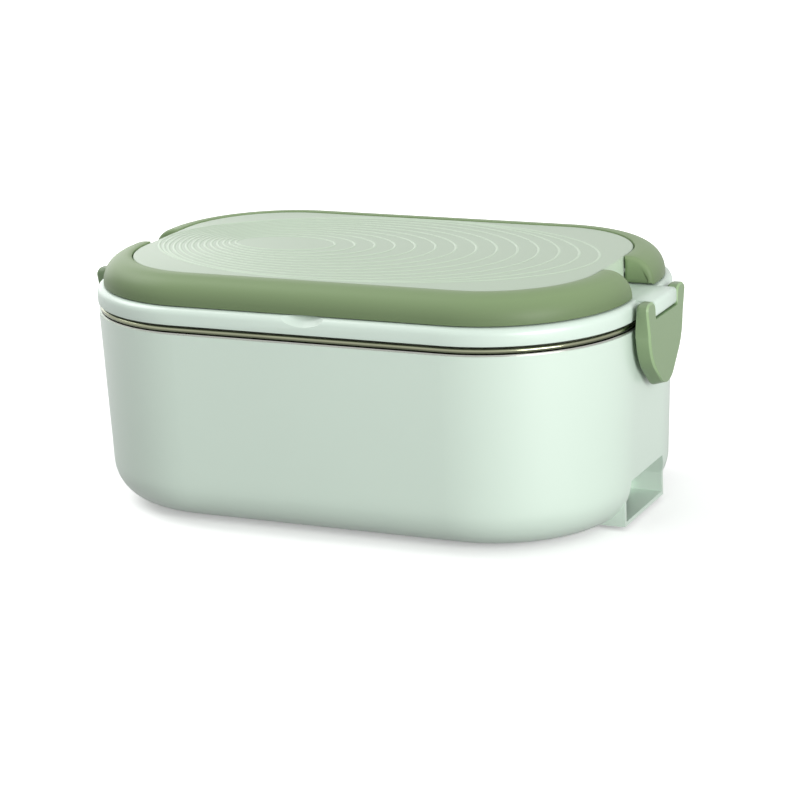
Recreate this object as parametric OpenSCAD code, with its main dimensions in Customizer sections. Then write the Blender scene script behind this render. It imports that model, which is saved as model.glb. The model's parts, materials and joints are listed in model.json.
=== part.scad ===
// Electric lunch box: a heated base with a steel food container, a lid held by two
// end latches, and two grip halves that swing up from the lid to carry it.
// Millimetres. +X is the length (power inlet at +X), -Y the front, +Z up.
// The origin is on the table, under the middle of the lid's outline.

/* [Outline] */
// Length of the lid over its skirt
lid_l = 240; // [220:1:270]
// Width of the lid over its skirt
lid_w = 155; // [150:1:175]
// Corner radius of the lid's outline
corner_r = 60; // [56:1:66]

/* [Heights] */
// Height of the rubber feet under the shell
foot_h = 2; // [1.5:0.5:5]
// Height of the outer shell
body_h = 82; // [76:1:110]
// Height of the steel band between shell and lid
band_h = 4; // [4:0.1:6]
// Height of the lid's skirt up to its ledge
skirt_h = 7.2; // [7:0.1:10]
// Height of the grips and the top panel above the ledge
cap_h = 11.8; // [11.5:0.1:15]

/* [Outer shell] */
// Step back of the shell's top edge from the lid's outline
body_inset = 0.2; // [0:0.1:1]
// Further step back of the shell at its rounded lower edge
draft = 2.2; // [0:0.1:3]
// Radius of the rounded lower edge
base_r = 16.8; // [14:0.2:18]
// Wall of the plastic mouldings
wall = 2.2; // [1.8:0.1:2.6]
// Width of the catch rib under each latch
catch_w = 20; // [10:1:30]
// Depth of the catch rib on the end wall
catch_d = 1.4; // [0.8:0.1:1.6]
// Height of the catch rib
catch_h = 2.5; // [1.5:0.1:4]
// Drop of the catch rib's underside below the shell's top edge
catch_drop = 10; // [8:0.5:12]

/* [Base plate and feet] */
// Step back of the base plate's recess from the lid's outline
plate_inset = 20.6; // [20:0.2:24]
// Thickness of the base plate
plate_t = 2.4; // [2:0.1:4]
// Width of the turned-in seat that the plate is screwed to
seat_w = 12; // [10:0.5:15]
// Radius of a rubber foot
foot_r = 7; // [5:0.5:9]
// Distance of a foot's centre from the plate's edge
foot_edge = 24; // [23:0.5:27]
// Radius of a foot's stem
foot_stem_r = 2.5; // [2:0.1:3]
// Height of the bosses for the base screws
boss_h = 11; // [8:0.5:13]
// Radius of a screw boss
boss_r = 4; // [3.4:0.1:4.5]
// Distance of the base screws from the body's centre, along its length
base_screw_x = 58; // [40:1:65]

/* [Screws] */
// Radius of a screw's shank
screw_r = 1.4; // [1.2:0.1:1.6]
// Radius of a screw's head
head_r = 2.8; // [2.4:0.1:3]
// Height of a screw's head
head_h = 1.2; // [0.8:0.1:1.3]

/* [Steel liner and container] */
// Thickness of the steel sheet
sheet = 0.6; // [0.5:0.1:0.8]
// Step back of the liner's wall from the lid's outline
pan_inset = 6.5; // [6:0.1:8]
// Step back of the liner's turned-out rim from the lid's outline
pan_rim_inset = 1; // [0.6:0.1:1.6]
// Height of the liner's floor above the shell's underside
pan_h = 26; // [25:0.5:32]
// Radius between the wall and the floor of the liner
pan_r = 12; // [10:0.5:16]
// Space between the liner's wall and the container's wall
cook_gap = 2.4; // [1.5:0.1:3]
// Step back of the container's rolled rim from the lid's outline
bead_inset = 0.7; // [0.4:0.1:1.5]
// Radius of the container's rolled rim
bead_r = 1.1; // [0.9:0.1:1.2]

/* [Heater] */
// Length of the heating plate
heat_l = 150; // [140:1:160]
// Width of the heating plate
heat_w = 90; // [84:1:96]
// Thickness of the heating plate
heat_t = 3; // [2:0.1:4]
// Radius of the heating element's tube
tube_r = 3.2; // [2.5:0.1:3.6]
// Radius of the heating element's bend, at the middle of its tube
bend_r = 24; // [22:1:28]
// Length of the heating element's straight legs
leg_l = 80; // [70:1:86]
// Width of the strap that holds the element
strap_w = 10; // [9:1:14]
// Thickness of the strap that holds the element
strap_t = 1.5; // [1:0.1:2]
// Radius of the thermostat's can
thermo_r = 8.2; // [6:0.1:9]
// Height of the thermostat
thermo_h = 8; // [6:0.1:9]
// Radius of the thermal fuse
fuse_r = 2.1; // [1.8:0.1:2.3]
// Length of the thermal fuse
fuse_l = 12; // [10:1:14]
// Size of the insulation sheet along the body
mica_l = 116; // [90:1:120]
// Size of the insulation sheet across the body
mica_w = 62; // [40:1:70]
// Thickness of the insulation sheet
mica_t = 1.5; // [1:0.1:2]
// Radius of an insulated wire
wire_r = 1.1; // [0.9:0.1:1.3]

/* [Power inlet] */
// Width of the inlet bay's housing
bay_w = 47; // [44:1:52]
// Height of the inlet bay's housing
bay_h = 20.9; // [20:0.1:23]
// Step back of the bay's outer face from the lid's end
bay_inset = 3.8; // [3.4:0.1:4.5]
// Depth of the inlet bay
bay_d = 14; // [12:0.5:15]
// Wall of the inlet bay
bay_wall = 1.8; // [1.5:0.1:2.2]
// Height of the bay's upright sides, above which they lean in
bay_knee = 10; // [8:0.5:12]
// Lean of the bay's sides from the knee to the top
bay_lean = 2.7; // [1:0.1:4]
// Width of the socket's opening
socket_w = 16.8; // [16:0.2:18]
// Height of the socket's opening
socket_h = 8.9; // [8.5:0.1:9.2]
// Depth of the socket
socket_d = 10.5; // [9:0.5:11]
// Wall of the socket
socket_wall = 1.6; // [1.2:0.1:1.8]
// Height of the socket's middle above the shell's underside
socket_z = 11.4; // [11:0.1:12]
// Width of the socket's flange
flange_w = 36; // [34:0.5:38]
// Thickness of the socket's flange
flange_t = 1.5; // [1:0.1:2]
// Distance between the socket's two pins
pin_pitch = 8.6; // [8:0.1:9]
// Radius of a power pin
power_pin_r = 1.2; // [1.1:0.05:1.25]

/* [Lid] */
// Radius of the rounded upper edge of the skirt
ledge_r = 2.9; // [2:0.1:3.5]
// Step back of the top panel from the lid's outline
panel_inset = 16; // [15.5:0.1:18]
// Rounding of the top panel's edge
panel_edge_r = 0.8; // [0.6:0.1:1]
// Wall of the top panel
panel_wall = 1.8; // [1.5:0.1:2]
// Width of the finger scoop where it meets the ledge
scoop_w = 23; // [18:0.5:26]
// Depth of the finger scoop into the ledge
scoop_in = 5; // [4:0.1:5.5]
// Distance of the scoop's lowest point below the ledge
scoop_drop = 3.9; // [3:0.1:4.2]
// Distance of the panel's screw posts from the middle, along the lid
post_x = 62; // [50:1:66]
// Distance of the panel's screw posts from the middle, across the lid
post_y = 36; // [30:1:40]
// Step back of the liner's flange above the seal
liner_flange_inset = 5.2; // [5.1:0.1:5.6]
// Step back of the lid liner's side wall
liner_inset = 9; // [8.6:0.1:9.6]
// Thickness of the lid liner
liner_t = 1.8; // [1.4:0.1:2]
// Drop of the lid liner below the roof of the lid
liner_drop = 4.6; // [4.2:0.1:4.8]

/* [Grips] */
// Gap between the ends of the two grip halves
grip_gap = 23; // [21:0.5:26]
// Step back of the grips' outer edge from the lid's outline
grip_inset = 2.9; // [2.6:0.1:3.5]
// Radius of the grips' rounded outer side
grip_r = 10.5; // [9.5:0.1:11]
// Wall of the hollow grips
grip_wall = 2.5; // [2:0.1:3]
// Distance of the hinge pin from the grip's end
hinge_in = 3; // [2.6:0.1:4]
// Height of the hinge pin above the ledge
hinge_up = 5.4; // [5:0.1:6]
// Radius of a grip's hinge pin
grip_pin_r = 1.5; // [1.2:0.1:1.6]
// Length of a grip's hinge pin
grip_pin_l = 15; // [13:0.5:16]

/* [Latches] */
// Width of a latch
latch_w = 46; // [42:1:50]
// Thickness of a latch
latch_t = 5.4; // [5:0.1:6]
// Distance of a latch's outer face from the lid's end
latch_out = 7.1; // [6.9:0.1:7.6]
// Height of a latch's horns above the ledge
horn_up = 0.5; // [0.3:0.1:0.6]
// Drop of a latch's tip below the ledge
latch_drop = 38.2; // [34:0.2:42]
// Radius of a latch's rounded tip
tip_r = 7; // [6:0.5:8]
// Radius of a latch's rounded flanks
flank_r = 16; // [15:0.5:18]
// Height above the tip at which the flanks start to turn in
flank_up = 25; // [24:0.5:26]
// Width of the lid's tongue between the horns
tongue_w = 25.8; // [22:0.2:27]
// Reach of the tongue past the lid's end
tongue_out = 6.9; // [6.7:0.1:7]
// Height of the tongue
tongue_h = 7; // [6.8:0.1:7.2]
// Radius of the tongue's rounded edges
tongue_r = 1.6; // [1.5:0.1:2]
// Drop of the latch pin below the ledge
latch_pin_drop = 3.5; // [3.4:0.1:3.6]
// Radius of the latch pin
latch_pin_r = 1.2; // [1:0.1:1.2]

/* [Fits] */
// Clearance between neighbouring pieces
gap = 0.3; // [0.3:0.05:0.4]
// Clearance around the grips and in the latch's fork
swing_gap = 0.5; // [0.4:0.05:0.6]
// Radial clearance of a turning pin
run_fit = 0.06; // [0.03:0.01:0.1]
// Radial clearance of a pin that is held fast
hold_fit = 0.02; // [0.01:0.01:0.03]

/* [Hidden] */
$fn = 96;
eps = 0.5;
wire_sides = 10;

// Heights above the table
shell_z = foot_h;
seat_z = shell_z + plate_t + 0.1;
rim_z = shell_z + body_h;
skirt_z = rim_z + band_h;
ledge_z = skirt_z + skirt_h;
top_z = ledge_z + cap_h;
roof_z = ledge_z - wall;
pan_z = shell_z + pan_h;
heat_z = pan_z - heat_t;
bead_z = rim_z + sheet + gap + bead_r;
brim_z = bead_z - sheet / 2;
pot_z = pan_z + sheet + gap;
knee_z = shell_z + base_r;

// Middles of the corner arcs
corner_x = lid_l / 2 - corner_r;
corner_y = lid_w / 2 - corner_r;
end_x = lid_l / 2;
pot_inset = pan_inset + sheet + cook_gap;

// Distance from the middle of the corner arcs to a line set back from the outline
function u(inset) = corner_r - inset;

// ---------- Shared shapes ----------

// A section carried all the way round the outline; its x is measured by u()
module edge_loop() {
    for (k = [0 : 3]) {
        a = k % 2 == 0 ? corner_x : corner_y;
        b = k % 2 == 0 ? corner_y : corner_x;
        rotate([0, 0, 90 * k]) translate([a, b, 0]) {
            rotate_extrude(angle = 90) children();
            rotate([90, 0, 0]) linear_extrude(2 * b) children();
        }
    }
}

// The outline of the lid, set back evenly
module outline(inset) {
    square([lid_l - 2 * inset, 2 * corner_y], center = true);
    square([2 * corner_x, lid_w - 2 * inset], center = true);
    for (sx = [-1, 1], sy = [-1, 1])
        translate([sx * corner_x, sy * corner_y]) circle(u(inset));
}

// A flat plate between two heights
module slab(inset, z0, z1) {
    translate([0, 0, z0]) linear_extrude(z1 - z0) outline(inset);
}

// A rectangular section with its upper outer corner rounded
module rounded_section(x0, x1, z0, z1, r) {
    intersection() {
        translate([x0, z0]) square([x1 - x0, z1 - z0]);
        union() {
            translate([x0, z0]) square([x1 - x0 - r, z1 - z0]);
            if (z1 - z0 > r)
                translate([x0, z0]) square([x1 - x0, z1 - z0 - r]);
            translate([x1 - r, z1 - r]) circle(r);
        }
    }
}

// The area inside a pressed steel tub, open at the top
module tub_section(inset, z0, z1, r) {
    translate([0, z0]) square([u(inset) - r, z1 - z0]);
    translate([0, z0 + r]) square([u(inset), z1 - z0 - r]);
    translate([u(inset) - r, z0 + r]) circle(r);
}

// The wall of a pressed steel tub with a floor
module steel_tub(inset, z0, z1, r) {
    edge_loop() difference() {
        tub_section(inset, z0, z1, r);
        tub_section(inset + sheet, z0 + sheet, z1 + eps, r - sheet);
        square([u(inset + r + eps), z1]);
    }
    slab(inset + r, z0, z0 + sheet);
}

// Children repeated at the four corners of a rectangle
module at_four(x, y, z = 0) {
    for (sx = [-1, 1], sy = [-1, 1])
        translate([sx * x, sy * y, z]) children();
}

// A screw with its head down: the head's upper face is at z 0
module screw(length) {
    translate([0, 0, -head_h]) cylinder(r = head_r, h = head_h);
    translate([0, 0, -head_h / 2]) cylinder(r = screw_r, h = length + head_h / 2);
}

// A rod along X, between two lengths
module rod_x(r, x0, x1) {
    translate([x0, 0, 0]) rotate([0, 90, 0]) cylinder(r = r, h = x1 - x0);
}

// A rod along Y, centred
module rod_y(r, length) {
    rotate([90, 0, 0]) cylinder(r = r, h = length, center = true);
}

// Directions along a route, and the direction of the ring at each of its points
function step_dir(p, i) = (p[i + 1] - p[i]) / norm(p[i + 1] - p[i]);
function ring_dir(p, i) =
    i == 0 ? step_dir(p, 0)
    : i == len(p) - 1 ? step_dir(p, i - 1)
    : (step_dir(p, i - 1) + step_dir(p, i)) / norm(step_dir(p, i - 1) + step_dir(p, i));

// A square-on ring of points around a route's point
function ring(c, d, r) =
    let (side = cross(d, [0.1, 0.2, 1]), s = side / norm(side), t = cross(s, d))
    [for (k = [0 : wire_sides - 1])
        c + r * (cos(360 * k / wire_sides) * s + sin(360 * k / wire_sides) * t)];

// An insulated wire through a list of points, as one tube
module wire(points) {
    n = len(points);
    m = wire_sides;
    polyhedron(
        points = [for (i = [0 : n - 1]) each ring(points[i], ring_dir(points, i), wire_r)],
        faces = concat(
            [[for (k = [0 : m - 1]) k]],
            [for (i = [0 : n - 2], k = [0 : m - 1])
                [i * m + k, (i + 1) * m + k, (i + 1) * m + (k + 1) % m]],
            [for (i = [0 : n - 2], k = [0 : m - 1])
                [i * m + k, (i + 1) * m + (k + 1) % m, i * m + (k + 1) % m]],
            [[for (k = [m - 1 : -1 : 0]) (n - 1) * m + k]]
        )
    );
}

// ---------- Outer shell and base ----------

bay_x = end_x - bay_inset - bay_d - bay_wall;
bay_floor = shell_z + bay_wall;
base_screw_y = lid_w / 2 - plate_inset - seat_w / 2;
foot_x = end_x - plate_inset - foot_edge;
foot_y = lid_w / 2 - plate_inset - foot_edge;
pilot_r = screw_r + 0.1;
free_r = screw_r + 0.3;

// The area inside the shell's drafted side, set back by t
module shell_side(t) {
    r = base_r - t;
    knee_x = u(body_inset + draft) - base_r;
    translate([knee_x, knee_z]) circle(r);
    polygon([
        [0, shell_z + t], [knee_x, shell_z + t], [knee_x + r, knee_z],
        [u(body_inset) - t, rim_z], [u(body_inset) - t, rim_z + t], [0, rim_z + t]
    ]);
}

// Wall of the shell with its turned-in seat for the base plate
module shell_section() {
    difference() {
        shell_side(0);
        shell_side(wall);
        square([u(plate_inset), rim_z - eps]);
    }
    translate([u(plate_inset), shell_z + eps]) square([wall, seat_z + wall - shell_z - eps]);
    translate([u(plate_inset + seat_w), seat_z]) square([seat_w + wall, wall]);
}

// Opening of the inlet bay, seen along X
module bay_mouth() {
    y0 = bay_w / 2 - bay_wall;
    z1 = shell_z + bay_knee;
    z2 = shell_z + bay_h - wall;
    polygon([
        [-y0, bay_floor], [y0, bay_floor], [y0, z1],
        [y0 - bay_lean, z2], [bay_lean - y0, z2], [-y0, z1]
    ]);
}

module catch_rib() {
    z0 = rim_z - catch_drop;
    back = wall / 2 + draft;
    translate([end_x - body_inset - back, -catch_w / 2, z0])
        cube([back + catch_d - body_inset, catch_w, catch_h]);
}

module outer_shell() {
    socket_h_out = socket_h + 2 * socket_wall + 2 * gap;
    socket_w_out = socket_w + 2 * socket_wall + 2 * gap;
    ear_y = (flange_w / 2 + socket_w_out / 2) / 2;
    color([0.80, 0.89, 0.82]) difference() {
        union() {
            edge_loop() shell_section();
            translate([bay_x, -bay_w / 2, shell_z])
                cube([bay_d + bay_wall, bay_w, bay_h]);
            for (side = [0, 180])
                rotate([0, 0, side]) catch_rib();
            at_four(base_screw_x, base_screw_y, seat_z) cylinder(r = boss_r, h = boss_h);
            for (sy = [-1, 1])
                translate([0, sy * ear_y, shell_z + socket_z])
                    rod_x(boss_r - 1, bay_x - 5, bay_x + eps);
        }
        translate([bay_x + bay_wall, 0, 0]) rotate([90, 0, 90]) linear_extrude(bay_d + 10)
            bay_mouth();
        translate([bay_x - eps, -socket_w_out / 2, shell_z + socket_z - socket_h_out / 2])
            cube([bay_wall + 2 * eps, socket_w_out, socket_h_out]);
        at_four(base_screw_x, base_screw_y, seat_z - eps)
            cylinder(r = pilot_r, h = boss_h - 1 + eps);
        for (sy = [-1, 1])
            translate([0, sy * ear_y, shell_z + socket_z])
                rod_x(pilot_r, bay_x - 4, bay_x + bay_wall + eps);
    }
}

module base_plate() {
    color([0.74, 0.83, 0.76]) difference() {
        slab(plate_inset + gap, seat_z - plate_t, seat_z);
        at_four(base_screw_x, base_screw_y, 0) {
            cylinder(r = free_r, h = seat_z + eps);
            cylinder(r = head_r + gap, h = seat_z - plate_t + head_h);
        }
        at_four(foot_x, foot_y, 0) cylinder(r = foot_stem_r + hold_fit, h = seat_z + eps);
    }
}

module base_screws() {
    color([0.70, 0.70, 0.72])
        at_four(base_screw_x, base_screw_y, seat_z - plate_t + head_h)
            screw(plate_t - head_h + boss_h - 3);
}

// Four feet, each pulled through the plate by a headed stem
module rubber_feet() {
    head = 1;
    color([0.55, 0.60, 0.55]) at_four(foot_x, foot_y, 0) {
        cylinder(r = foot_r, h = seat_z - plate_t);
        cylinder(r = foot_stem_r, h = seat_z + head / 2);
        translate([0, 0, seat_z]) cylinder(r = foot_stem_r + 1, h = head);
    }
}

// ---------- Steel liner and container ----------

module heating_liner() {
    color([0.78, 0.78, 0.76]) {
        steel_tub(pan_inset, pan_z, rim_z + sheet, pan_r);
        edge_loop() translate([u(pan_inset + sheet), rim_z])
            square([pan_inset + sheet - pan_rim_inset, sheet]);
    }
}

module food_container() {
    color([0.82, 0.82, 0.80]) {
        steel_tub(pot_inset, pot_z, brim_z + sheet, pan_r);
        edge_loop() translate([u(pot_inset + sheet), brim_z])
            square([pot_inset + sheet - bead_inset - bead_r, sheet]);
        edge_loop() translate([u(bead_inset + bead_r), bead_z]) circle(bead_r);
    }
}

// ---------- Heater ----------

tube_z = heat_z - gap / 2 - tube_r;
strap_z = tube_z - tube_r - gap / 2 - strap_t;
bend_x = -leg_l / 2;
tail_l = 8;
tail_r = 1.2;
thermo_x = heat_l / 2 - thermo_r - 3;
fuse_y = -16;
fuse_z = heat_z - 3;
fuse_end = fuse_l / 2 + 3;
holder_y = -20;
holder_w = 14;
holder_l = 8;
blade_z = heat_z - thermo_h - 5;
blade_x = 4.4;
strap_x = [-20, 20];

module heating_plate() {
    color([0.72, 0.73, 0.74]) difference() {
        union() {
            translate([-heat_l / 2, -heat_w / 2, heat_z]) cube([heat_l, heat_w, heat_t]);
            for (x = strap_x)
                translate([x, 0, strap_z + strap_t])
                    cylinder(r = boss_r, h = heat_z - strap_z - strap_t + eps);
        }
        for (x = strap_x)
            translate([x, 0, strap_z]) cylinder(r = pilot_r, h = heat_z - strap_z);
    }
}

// A tube bent into a U under the plate, with a terminal at each end
module heating_element() {
    color([0.30, 0.30, 0.29]) translate([0, 0, tube_z]) {
        translate([bend_x, 0, 0]) rotate([0, 0, 90]) rotate_extrude(angle = 180)
            translate([bend_r, 0]) circle(tube_r);
        for (sy = [-1, 1]) translate([0, sy * bend_r, 0]) {
            rod_x(tube_r, bend_x, bend_x + leg_l);
            rod_x(tail_r, bend_x + leg_l - eps, bend_x + leg_l + tail_l);
        }
    }
}

module element_strap() {
    reach = bend_r + tube_r;
    color([0.66, 0.66, 0.67]) for (x = strap_x) difference() {
        translate([x - strap_w / 2, -reach, strap_z]) cube([strap_w, 2 * reach, strap_t]);
        translate([x, 0, strap_z - eps]) cylinder(r = free_r, h = strap_t + 2 * eps);
    }
}

module thermostat() {
    color([0.62, 0.60, 0.56]) translate([thermo_x, thermo_r, 0]) {
        translate([0, 0, heat_z - 2]) cylinder(r = thermo_r, h = 2);
        translate([0, 0, heat_z - thermo_h]) cylinder(r = thermo_r - 1.5, h = thermo_h);
        for (sx = [-1, 1])
            translate([sx * (blade_x - 0.4) - 0.4, -3, blade_z])
                cube([0.8, 6, heat_z - thermo_h - blade_z + eps]);
    }
}

module thermal_fuse() {
    color([0.55, 0.50, 0.42]) translate([thermo_x, fuse_y, fuse_z]) {
        rod_x(fuse_r, -fuse_l / 2, fuse_l / 2);
        rod_x(0.6, -fuse_end, fuse_end);
    }
}

// A block under the plate with a bore for the fuse and a hole for its screw
module fuse_holder() {
    color([0.84, 0.82, 0.76]) difference() {
        translate([thermo_x - holder_l / 2, holder_y - holder_w / 2, heat_z - 6])
            cube([holder_l, holder_w, 6]);
        translate([thermo_x, fuse_y, fuse_z]) rod_x(fuse_r + run_fit, -holder_l, holder_l);
        translate([thermo_x, holder_y - 3.5, heat_z - 6 - eps])
            cylinder(r = free_r, h = 6 + 2 * eps);
    }
}

// The two strap screws and the fuse holder's screw
module heater_screws() {
    color([0.60, 0.60, 0.62]) {
        for (x = strap_x)
            translate([x, 0, strap_z]) screw(heat_z - strap_z - 2);
        translate([thermo_x, holder_y - 3.5, heat_z - 6]) screw(6 - gap);
    }
}

module insulation_sheet() {
    color([0.86, 0.82, 0.70])
        translate([-mica_l / 2 - 8, -mica_w / 2, seat_z]) cube([mica_l, mica_w, mica_t]);
}

// ---------- Power inlet ----------

inlet_z = shell_z + socket_z;
face_x = bay_x + bay_wall + flange_t;
tail_x = face_x - socket_d - socket_wall - 6;

// The stadium-shaped opening of a small two-pin inlet
module socket_shape(grow) {
    h = socket_h / 2;
    for (sy = [-1, 1])
        translate([sy * (socket_w / 2 - h), 0]) circle(h + grow);
    square([socket_w - 2 * h, socket_h + 2 * grow], center = true);
}

module inlet_socket() {
    flange_h = socket_h + 2 * socket_wall + 1.8;
    ear_y = (flange_w / 2 + socket_w / 2 + socket_wall + gap) / 2;
    color([0.20, 0.21, 0.20]) translate([0, 0, inlet_z]) difference() {
        union() {
            translate([face_x - flange_t, -flange_w / 2, -flange_h / 2])
                cube([flange_t, flange_w, flange_h]);
            translate([face_x - socket_d - socket_wall, 0, 0]) rotate([90, 0, 90])
                linear_extrude(socket_d + socket_wall) socket_shape(socket_wall);
        }
        translate([face_x - socket_d, 0, 0]) rotate([90, 0, 90])
            linear_extrude(socket_d + eps) socket_shape(0);
        for (sy = [-1, 1]) {
            translate([0, sy * pin_pitch / 2, 0])
                rod_x(power_pin_r + hold_fit, face_x - socket_d - 2 * socket_wall, face_x);
            translate([0, sy * ear_y, 0]) rod_x(free_r, face_x - 2 * flange_t, face_x + eps);
        }
    }
}

module inlet_pins() {
    color([0.80, 0.66, 0.36]) for (sy = [-1, 1])
        translate([0, sy * pin_pitch / 2, inlet_z]) rod_x(power_pin_r, tail_x, face_x - 2);
}

module inlet_screws() {
    ear_y = (flange_w / 2 + socket_w / 2 + socket_wall + gap) / 2;
    color([0.70, 0.70, 0.72]) for (sy = [-1, 1])
        translate([face_x, sy * ear_y, inlet_z]) rotate([0, -90, 0]) screw(flange_t + bay_wall + 2.5);
}

// ---------- Wires ----------

// Each wire butts against the two terminals that it joins, and leaves them straight
neutral_y = -pin_pitch / 2;
leg_end_x = bend_x + leg_l + tail_l;
stub = 4;
wire_low = seat_z + mica_t + 2 * wire_r;
wire_side = bend_r + tube_r + wire_r + 2;
blade_mid = blade_z + 1.5;

module neutral_wire() {
    color([0.20, 0.35, 0.70]) wire([
        [tail_x, neutral_y, inlet_z], [tail_x - stub, neutral_y, inlet_z],
        [tail_x - 2 * stub, -bend_r / 2, wire_low], [tail_x - 2 * stub, -wire_side, wire_low],
        [leg_end_x + 2 * stub, -wire_side, wire_low], [leg_end_x + 2 * stub, -bend_r, tube_z - stub],
        [leg_end_x + stub, -bend_r, tube_z], [leg_end_x, -bend_r, tube_z]
    ]);
}

module live_wire() {
    color([0.45, 0.28, 0.16]) wire([
        [tail_x, -neutral_y, inlet_z], [tail_x - stub, -neutral_y, inlet_z],
        [thermo_x + blade_x + stub, thermo_r, blade_mid], [thermo_x + blade_x, thermo_r, blade_mid]
    ]);
}

module link_wire() {
    color([0.75, 0.73, 0.66]) wire([
        [thermo_x - blade_x, thermo_r, blade_mid], [thermo_x - blade_x - stub, thermo_r, blade_mid],
        [thermo_x - fuse_end - 1.5 * stub, fuse_y + 2 * stub, fuse_z - stub],
        [thermo_x - fuse_end - stub, fuse_y, fuse_z], [thermo_x - fuse_end, fuse_y, fuse_z]
    ]);
}

module fuse_wire() {
    color([0.75, 0.73, 0.66]) wire([
        [thermo_x + fuse_end, fuse_y, fuse_z], [thermo_x + fuse_end + stub / 2, fuse_y, fuse_z],
        [thermo_x + fuse_end + stub / 2, 0, wire_low], [thermo_x, bend_r, wire_low],
        [leg_end_x + stub, bend_r, tube_z - stub], [leg_end_x + stub / 2, bend_r, tube_z],
        [leg_end_x, bend_r, tube_z]
    ]);
}

// ---------- Lid ----------

hinge_y = grip_gap / 2 + hinge_in;
hinge_z = ledge_z + hinge_up;
pin_x0 = end_x - panel_inset - panel_wall - 6;
latch_pin_x = end_x + latch_out - latch_t / 2;
latch_pin_z = ledge_z - latch_pin_drop;

// The finger scoop is part of a ball that meets the skirt in an arc
scoop_flat_r = (pow(scoop_w / 2, 2) + pow(scoop_in, 2)) / (2 * scoop_in);
scoop_y = lid_w / 2 + scoop_flat_r - scoop_in;
scoop_c = pow(scoop_y - lid_w / 2, 2);
scoop_rise = (pow(scoop_flat_r, 2) - scoop_c - pow(scoop_drop, 2)) / (2 * scoop_drop);
scoop_r = sqrt(pow(scoop_flat_r, 2) + pow(scoop_rise, 2));

module scoop_ball(grow) {
    for (sy = [-1, 1])
        translate([0, sy * scoop_y, ledge_z + scoop_rise]) sphere(scoop_r + grow);
}

// Skirt and rounded ledge of the lid
module skirt_section() {
    difference() {
        rounded_section(u(liner_inset + 3), u(0), skirt_z, ledge_z, ledge_r);
        translate([0, skirt_z - eps]) square([u(wall), roof_z - skirt_z + eps]);
    }
}

// The tongue that a latch swings on
module tongue() {
    reach = wall + 1 + tongue_out;
    translate([end_x + tongue_out - reach, tongue_w / 2, ledge_z - tongue_h]) rotate([90, 0, 0])
        linear_extrude(tongue_w) union() {
            square([reach - tongue_r, tongue_h]);
            translate([0, tongue_r]) square([reach, tongue_h - 2 * tongue_r]);
            for (z = [tongue_r, tongue_h - tongue_r])
                translate([reach - tongue_r, z]) circle(tongue_r);
        }
}

module lid_base() {
    cup_in = scoop_in + 2;
    color([0.84, 0.91, 0.85]) difference() {
        union() {
            edge_loop() skirt_section();
            slab(liner_inset + 2, roof_z, ledge_z);
            for (side = [0, 180])
                rotate([0, 0, side]) tongue();
            intersection() {
                scoop_ball(wall);
                translate([-scoop_w, -lid_w / 2 + wall / 2, skirt_z + eps])
                    cube([2 * scoop_w, lid_w - wall, roof_z - skirt_z]);
                difference() {
                    slab(wall / 2, skirt_z, ledge_z);
                    slab(cup_in, skirt_z - eps, ledge_z + eps);
                }
            }
            at_four(end_x - panel_inset - panel_wall - gap - 3, hinge_y, roof_z + eps)
                translate([-3, -4, 0]) cube([6, 8, cap_h - wall - gap + wall - eps]);
        }
        scoop_ball(0);
        for (side = [0, 180])
            rotate([0, 0, side]) translate([latch_pin_x, 0, latch_pin_z])
                rod_y(latch_pin_r + hold_fit, tongue_w + 2 * eps);
        for (side = [0, 180], sy = [-1, 1])
            rotate([0, 0, side]) translate([0, sy * hinge_y, hinge_z])
                rod_x(grip_pin_r + hold_fit, pin_x0 - hold_fit, end_x);
        at_four(post_x, post_y, roof_z - eps) cylinder(r = free_r, h = wall + 2 * eps);
    }
}

// Top panel: a cap with a rounded edge and four screw posts
module lid_panel() {
    post_h = cap_h - panel_wall;
    color([0.80, 0.87, 0.79]) difference() {
        union() {
            edge_loop() difference() {
                rounded_section(u(panel_inset + 6), u(panel_inset), ledge_z, top_z, panel_edge_r);
                translate([0, ledge_z - eps])
                    square([u(panel_inset + panel_wall), cap_h - wall + eps]);
            }
            slab(panel_inset + 5, top_z - wall, top_z);
            at_four(post_x, post_y, ledge_z) cylinder(r = boss_r, h = post_h);
        }
        at_four(post_x, post_y, ledge_z - eps) cylinder(r = pilot_r, h = post_h - 1);
        for (side = [0, 180], sy = [-1, 1])
            rotate([0, 0, side]) translate([0, sy * hinge_y, hinge_z])
                rod_x(grip_pin_r + gap / 2, pin_x0, end_x);
    }
}

// Inner plate of the lid, with a flange that the seal sits under
module lid_liner() {
    flange_z = roof_z - liner_drop + 2.4;
    color([0.90, 0.92, 0.89]) {
        slab(liner_inset, roof_z - liner_drop, roof_z - liner_drop + liner_t);
        edge_loop() {
            translate([u(liner_inset + liner_t), roof_z - liner_drop + liner_t / 2])
                square([liner_t, liner_drop - liner_t / 2]);
            translate([u(liner_inset + liner_t / 2), flange_z])
                square([liner_inset + liner_t / 2 - liner_flange_inset, 1.2]);
        }
    }
}

module lid_seal() {
    top = roof_z - liner_drop + 2.4;
    low = brim_z + sheet + gap;
    color([0.88, 0.90, 0.88]) edge_loop() {
        translate([u(liner_inset - gap), low + 0.6])
            square([liner_inset - gap - liner_flange_inset - gap, top - low - 0.6]);
        translate([u(liner_inset - gap - 1.6), low + 0.6]) circle(0.6);
    }
}

module lid_screws() {
    color([0.70, 0.70, 0.72]) at_four(post_x, post_y, roof_z) screw(cap_h - 2);
}

module grip_pins() {
    color([0.75, 0.75, 0.76]) for (side = [0, 180], sy = [-1, 1])
        rotate([0, 0, side]) translate([0, sy * hinge_y, hinge_z])
            rod_x(grip_pin_r, pin_x0, pin_x0 + grip_pin_l);
}

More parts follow.
